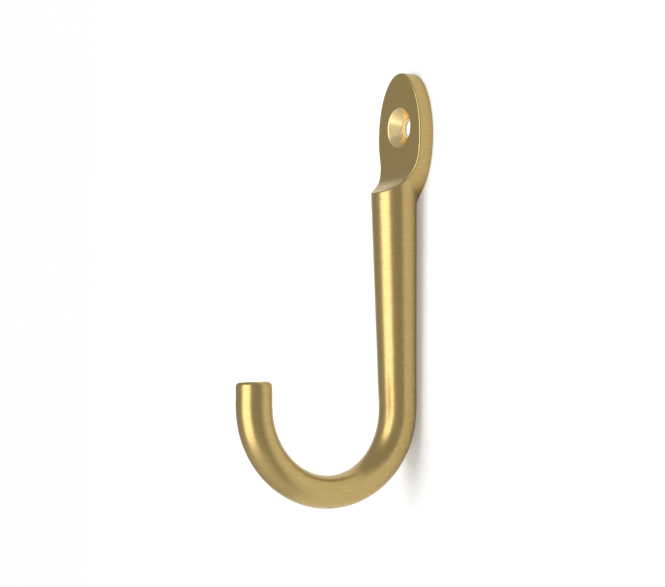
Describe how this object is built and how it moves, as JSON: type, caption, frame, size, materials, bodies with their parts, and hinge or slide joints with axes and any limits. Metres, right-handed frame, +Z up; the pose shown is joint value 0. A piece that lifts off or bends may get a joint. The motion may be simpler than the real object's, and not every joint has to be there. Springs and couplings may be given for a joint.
{
  "type": "coat hook",
  "caption": "Wall coat hook: an oval countersunk screw plate runs through a hollowed shoulder into a tapered oval bar bent to an open J.",
  "frame": {"origin": "axis of the screw hole, on the plate's back face, which is the wall plane", "axes": "+Z up, -Y out of the wall toward the room and along the screw hole, +X across, with X = 0 the hook's mirror plane"},
  "size_m": [0.0174, 0.0457, 0.0995],
  "materials": {
    "satin_brass": "satin"
  },
  "bodies": {
    "root": {"hook": "satin_brass"}
  },
  "joints": []
}
